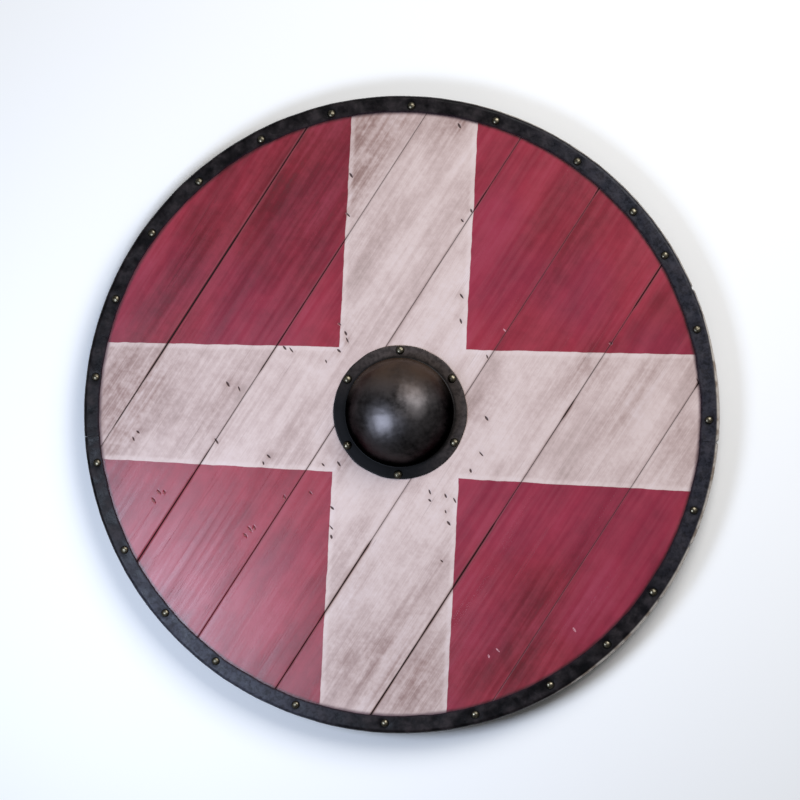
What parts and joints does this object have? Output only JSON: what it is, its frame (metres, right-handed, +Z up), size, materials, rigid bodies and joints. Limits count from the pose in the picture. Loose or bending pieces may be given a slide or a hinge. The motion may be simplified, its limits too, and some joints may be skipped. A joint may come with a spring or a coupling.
{
  "type": "wooden round shield",
  "caption": "Round board shield with a white cross on red, leather edging held by brass tacks, a hollow iron boss over the hand hole and a grip batten behind.",
  "frame": {"origin": "on the surface that the shield lies on, under the middle of the disc", "axes": "+Z up out of the painted face; +X and +Y along the arms of the cross, with the boards slanting up to the right"},
  "size_m": [0.84, 0.84, 0.1056],
  "materials": {
    "painted_boards": "red paint with a white cross, streaked and worn along the grain",
    "edging_leather": "black, semi-matt, rubbed on the outer edge",
    "boss_iron": "blackened, satin, browned in places",
    "tack_brass": "dark antique, shiny on the crown",
    "batten_wood": "bare, oiled by use"
  },
  "bodies": {
    "root": {"board_1": "painted_boards", "board_2": "painted_boards", "board_3": "painted_boards", "board_4": "painted_boards", "board_5": "painted_boards", "board_6": "painted_boards", "board_7": "painted_boards", "rim_strip_upper": "edging_leather", "rim_strip_lower": "edging_leather", "rim_tack_01": "tack_brass", "rim_tack_02": "tack_brass", "rim_tack_03": "tack_brass", "rim_tack_04": "tack_brass", "rim_tack_05": "tack_brass", "rim_tack_06": "tack_brass", "rim_tack_07": "tack_brass", "rim_tack_08": "tack_brass", "rim_tack_09": "tack_brass", "rim_tack_10": "tack_brass", "rim_tack_11": "tack_brass", "rim_tack_12": "tack_brass", "rim_tack_13": "tack_brass", "rim_tack_14": "tack_brass", "rim_tack_15": "tack_brass", "rim_tack_16": "tack_brass", "rim_tack_17": "tack_brass", "rim_tack_18": "tack_brass", "rim_tack_19": "tack_brass", "rim_tack_20": "tack_brass", "rim_tack_21": "tack_brass", "rim_tack_22": "tack_brass", "rim_tack_23": "tack_brass", "rim_tack_24": "tack_brass", "boss": "boss_iron", "boss_rivet_1": "tack_brass", "boss_rivet_2": "tack_brass", "boss_rivet_3": "tack_brass", "boss_rivet_4": "tack_brass", "boss_rivet_5": "tack_brass", "boss_rivet_6": "tack_brass", "grip_batten": "batten_wood"}
  },
  "joints": []
}
